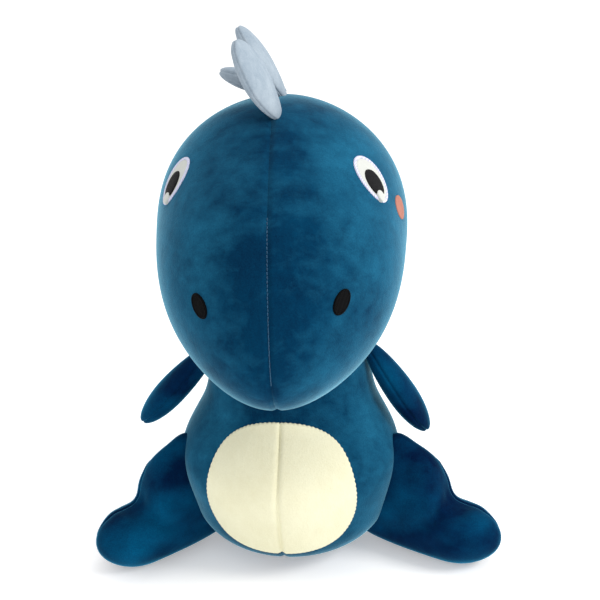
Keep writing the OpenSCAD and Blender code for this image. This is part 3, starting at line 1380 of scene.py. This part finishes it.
@dataclass
class Arm(Limb):
    """A paddle-shaped arm of an inner and an outer panel."""

    length: float = 74.0
    width: float = 30.0
    thick: float = 21.0
    shoulder: Row = (62.4, -9.0, 139.3)

    def form(self) -> Form:
        """The arm's form."""
        c, s = math.cos(math.radians(self.angle)), math.sin(math.radians(self.angle))
        axis = (s, 0.0, -c)
        reach = self.length / 2 - 8
        tall = shares(self.width, (0.62, 0.84, 1.00, 1.06, 1.00))
        made = Form(
            half=self.length / 2,
            wide=shares(self.thick, (0.90, 0.98, 1.02, 1.02, 0.95)),
            over=tall,
            under=tall,
            origin=tuple(p + a * reach for p, a in zip(self.shoulder, axis)),
            x_axis=(-c, 0.0, -s),
            y_axis=(-s, 0.0, c),
            z_axis=(0.0, 1.0, 0.0),
            root=7.0,
            blunt=0.6,
            tip=0.86,
        )
        return made if self.side is Side.LEFT else made.mirrored()

    def build(self) -> None:
        """Builds the arm."""
        cover = Sewn(self.form(), cells=18, puff=1.5, slack=0.5, groove=0.9, spread=1.0,
                     pucker=0.6, pucker_pitch=6.0, cloth=0.9, turn_in=2.0, full=0.6)
        self.attach(cover, "arm", {"inner": 1, "outer": -1}, (-1.0, -20.0))


@dataclass
class Leg(Limb):
    """A leg of a front and a back panel, with a raised thigh and a long foot."""

    length: float = 78.0
    thigh: float = 88.0
    thick: float = 48.0
    sole: float = 21.0
    hip: Row = (76.44, -24.0, 0.0)

    def form(self) -> Form:
        """The leg's form."""
        c, s = math.cos(math.radians(self.angle)), math.sin(math.radians(self.angle))
        axis = (s, -c, 0.0)
        rise = (1.60, 1.48, 1.085, 0.82, 0.46, 0.34, 0.345, 0.34, 0.36)
        wide = (1.24, 1.10, 1.02, 1.00, 1.02, 1.06, 1.08, 1.04, 1.00)
        made = Form(
            half=self.length / 2,
            wide=shares(self.thick, wide),
            over=tuple((self.thigh - self.sole) * a for a in rise),
            under=(self.sole * 1.12,) * 9,
            centre=(self.sole,) * 9,
            origin=tuple(p + a * self.length / 2 for p, a in zip(self.hip, axis)),
            x_axis=(c, s, 0.0),
            y_axis=(-s, c, 0.0),
            z_axis=(0.0, 0.0, 1.0),
            root=32.0,
            blunt=0.5,
            crown=1.0,
        )
        return made if self.side is Side.LEFT else made.mirrored()

    def build(self) -> None:
        """Builds the leg."""
        fold = ((-2, -6, 50), (-14, -4, 46), (-24, 6, 36), (-29, 22, 27), (-26, 44, 20))
        back = ((2, -6, 50), (14, -5, 47), (24, 4, 38))
        tuck = ((-4, -2, 58), (-18, 8, 56), (-25, 22, 50))
        wrinkle = ((-20, -16, 30), (-25, -6, 24), (-26, 6, 18))
        cover = Sewn(self.form(), cells=34, puff=1.8, slack=0.7, groove=1.0, spread=1.2,
                     pucker=0.7, pucker_pitch=9.0, cloth=1.0, full=0.6, seam_shift=9.0,
                     creases=(Crease(fold, 10.0, 2.4), Crease(fold, 3.6, 4.0),
                              Crease(back, 8.0, 3.0), Crease(tuck, 4.5, 1.5),
                              Crease(wrinkle, 4.0, 1.2)))
        self.attach(cover, "leg", {"front": -1, "back": 1}, (16.0, -20.0))


@dataclass
class Tail(Part):
    """The short tail behind, of two side panels."""

    length: float = 84.0
    width: float = 66.0
    root: Row = (0.0, 68.66, 32.01)

    def form(self) -> Form:
        """The tail's form."""
        tall = shares(self.width, (0.95, 0.98, 0.74, 0.54, 0.44))
        return Form(
            half=self.length / 2,
            wide=shares(self.width, (0.95, 1.00, 0.82, 0.58, 0.44)),
            over=tall,
            under=tall,
            centre=(0.0, -6.0, -16.0, -22.0, -23.0),
            origin=(self.root[0], self.root[1] + self.length / 2, self.root[2]),
            x_axis=(-1.0, 0.0, 0.0),
            y_axis=(0.0, -1.0, 0.0),
            root=24.0,
            blunt=0.5,
        )

    def build(self) -> None:
        """Builds the tail."""
        form = self.form()
        cover = Sewn(form, cells=22, puff=1.9, slack=0.8, groove=1.0, spread=1.3, pucker=0.6,
                     cloth=1.0, full=0.75)
        cover.sew()
        y = self.root[1]
        for side in Side:
            node = f"tail_cover_{side.word}"
            self.bend(cover.panel(node, -side.value), ("body", "tail"), (0, (y - 4) * MM, 0),
                      (0, (y + 20) * MM, 0), "teal", Slot.BODY, node)
        self.stuff(cover, "tail_filling", "tail")


@dataclass
class Lobe(Part):
    """One leaf of the crest: a left and a right panel sewn round their edge."""

    under: Form
    u: float
    size: float
    lean: float
    aside: float = 0.0
    height: float = 56.0
    length: float = 38.0
    thick: float = 13.0

    def form(self) -> Form:
        """The lobe's form, standing on the top line of the form under it."""
        base = self.under
        p = base.spot(self.u, 90) / MM
        t = (base.spot(self.u + 2, 90) / MM - p).normalized()
        z = Vector(base.z_axis)
        up = (z - t * z.dot(t)).normalized()
        lean = math.radians(self.lean)
        axis = up * math.cos(lean) - Vector((1, 0, 0)) * math.sin(lean)
        across = axis.cross(t)
        hand = -1 if across.x < 0 else 1
        sunk = self.thick / 2 * 0.72
        hinge = p + up * (sunk + 0.6) - Vector((self.aside, 0, 0))
        k = self.size
        tall = shares(self.length * k, (0.78, 1.10, 1.18, 1.08, 0.96))
        return Form(
            half=self.height / 2 * k,
            wide=shares(self.thick, (0.80, 1.0, 1.1, 1.06, 0.96)),
            over=tall,
            under=tall,
            origin=tuple(hinge + axis * (self.height / 2 * k - sunk)),
            x_axis=tuple(across * hand),
            y_axis=tuple(-axis),
            z_axis=tuple(-t * hand),
            root=7.0,
            blunt=0.6,
            tip=0.78,
        )

    def cover(self) -> Sewn:
        """The lobe's stuffed cover."""
        made = Sewn(self.form(), cells=16, puff=1.2, slack=0.3, groove=0.8, spread=0.9,
                    pucker=0.5, pucker_pitch=5.0, cloth=0.7, turn_in=1.6, full=0.55,
                    ground=False)
        made.sew()
        return made


def dress_frame() -> None:
    """Gives the node that stays as the frame makes it its finish."""
    DRESSER.dress(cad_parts["neck_seam"], "thread")


# --------------------------------------------------------------------------- studio


@dataclass(frozen=True)
class Studio:
    """Floor, lights and camera."""

    target: Row = (0.0096, -0.016, 0.1885)
    distance: float = 0.900
    azimuth: float = 3.5
    elevation: float = 24.0
    roll: float = -1.9
    lens: float = 79.4
    lamps: tuple[tuple, ...] = (
        ("key", (1.15, -0.35, 0.95), 0.5, 10.0, (1.0, 0.99, 0.96)),
        ("fill", (0.1, -1.4, 0.9), 0.9, 1.5, (0.96, 0.98, 1.0)),
        ("top", (0.15, 0.3, 1.25), 0.7, 2.5, (1.0, 1.0, 1.0)),
    )

    def camera(self) -> None:
        """Sets up the camera."""
        a, e, r = (math.radians(k) for k in (self.azimuth, self.elevation, self.roll))
        back = Vector((math.sin(a) * math.cos(e), -math.cos(a) * math.cos(e), math.sin(e)))
        right = Vector((math.cos(a), math.sin(a), 0.0))
        up = back.cross(right)
        turned = right * math.cos(r) + up * math.sin(r)
        upward = up * math.cos(r) - right * math.sin(r)
        data = bpy.data.cameras.new("camera")
        data.lens = self.lens
        data.sensor_width = 36.0
        data.clip_start, data.clip_end = 0.05, 30.0
        eye = bpy.data.objects.new("camera", data)
        bpy.context.scene.collection.objects.link(eye)
        pose = Matrix((turned, upward, back)).transposed().to_4x4()
        pose.translation = Vector(self.target) + back * self.distance
        eye.matrix_world = pose
        bpy.context.scene.camera = eye

    def light(self, name: str, place: Row, size: float, power: float, tint: Colour) -> None:
        """Adds one soft light that faces the toy.

        Args:
            name: Its name.
            place: Where it stands, in metres.
            size: Its width, in metres.
            power: Its power in watts.
            tint: Its colour.
        """
        data = bpy.data.lights.new(name, "AREA")
        data.size = size
        data.energy = power
        data.color = tint
        lamp = bpy.data.objects.new(name, data)
        lamp.location = place
        aim = Vector((0.0, 0.0, 0.17)) - Vector(place)
        lamp.rotation_mode = "QUATERNION"
        lamp.rotation_quaternion = aim.to_track_quat("-Z", "Y")
        bpy.context.scene.collection.objects.link(lamp)

    def build(self) -> None:
        """Sets up the floor, lights and world."""
        bm = bmesh.new()
        bmesh.ops.create_circle(bm, cap_ends=True, segments=96, radius=6.0)
        floor = new_piece("floor", bm)
        floor.location.z = -0.0005
        paint = Paint("pale_floor")
        grain = paint.noise(60.0, 2.0)
        paint.set(
            Base_Color=paint.mix(grain, (0.93, 0.93, 0.93), (0.95, 0.95, 0.95)),
            Roughness=0.9,
            Specular_IOR_Level=0.0,
            Emission_Color=(1.0, 1.0, 1.0),
            Emission_Strength=0.3,
        )
        floor.data.materials.append(paint.material)
        world = bpy.data.worlds.new("studio")
        world.use_nodes = True
        world.node_tree.nodes["Background"].inputs[0].default_value = (1.0, 1.0, 1.0, 1.0)
        world.node_tree.nodes["Background"].inputs[1].default_value = 0.85
        bpy.context.scene.world = world
        bpy.context.scene.view_settings.view_transform = "Standard"
        for lamp in self.lamps:
            self.light(*lamp)


HEAD_LOBES = ((71.5, 0.93, 24, 0.0), (54, 0.88, 31, 0.0), (35, 0.74, 72, 7.0))
BACK_LOBES = ((62, 0.66), (84, 0.60))
TAIL_LOBES = ((66, 0.54), (98, 0.46))


def build_crests(head: Head, torso: Torso, tail: Tail) -> None:
    """Builds the three lobes on the head and the small fixed ones behind.

    Args:
        head: The head.
        torso: The body.
        tail: The tail.
    """
    part = Part()
    for i, (u, size, lean, aside) in enumerate(HEAD_LOBES, 1):
        cover = Lobe(under=head.form(), u=u, size=size, lean=lean, aside=aside).cover()
        start, end = cover.form.beyond(1.0), cover.form.beyond(-13.0)
        for side in Side:
            node = f"crest_{i}_{side.word}_panel"
            part.bend(cover.panel(node, side.value), ("head", f"crest_{i}"), start, end, "sky",
                      Slot.CREST, node)
        part.stuff(cover, f"crest_{i}_filling", f"crest_{i}")
    back = torso.form()
    rows = {key: tuple(-a for a in getattr(back, key)) for key in ("x_axis", "z_axis", "centre")}
    back = replace(back, **rows)
    sets = (
        ("back", back, "body", BACK_LOBES),
        ("tail", tail.form(), "tail", TAIL_LOBES),
    )
    for word, under, body, lobes in sets:
        covers = [Lobe(under=under, u=u, size=k, lean=28).cover() for u, k in lobes]
        for side in Side:
            made = [cover.panel("part", side.value) for cover in covers]
            node = f"{word}_crest_{side.word}_panels"
            piece = rounded(joined(node, made), 0.8)
            part.ride(piece, body, "sky", Slot.CREST, node)
        node = f"{word}_crest_filling"
        inside = joined(node, [cover.filling("part") for cover in covers])
        part.ride(inside, body, "fibre", Slot.FILL, node)


def main() -> None:
    """Builds the toy."""
    logging.basicConfig(level=logging.INFO, format="%(message)s")
    studio = Studio()
    studio.camera()
    studio.build()
    head, torso, tail = Head(), Torso(), Tail()
    head_surface = head.build()
    surface = torso.build(head_surface)
    torso.lay_belly(surface)
    limbs = ((Side.LEFT, 32.0, 65.0, 78.0), (Side.RIGHT, 43.0, 55.0, 73.0))
    for side, arm_angle, leg_angle, leg_length in limbs:
        Arm(side, arm_angle).build()
        Leg(side, leg_angle, length=leg_length).build()
    tail.build()
    build_crests(head, torso, tail)
    dress_frame()


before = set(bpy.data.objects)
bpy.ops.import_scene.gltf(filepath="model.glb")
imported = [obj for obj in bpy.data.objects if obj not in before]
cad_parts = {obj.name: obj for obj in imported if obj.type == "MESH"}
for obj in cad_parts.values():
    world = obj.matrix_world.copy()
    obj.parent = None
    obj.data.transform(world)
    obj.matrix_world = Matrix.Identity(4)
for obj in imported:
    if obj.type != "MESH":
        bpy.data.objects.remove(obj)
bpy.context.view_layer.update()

if __name__ == "__main__":
    main()
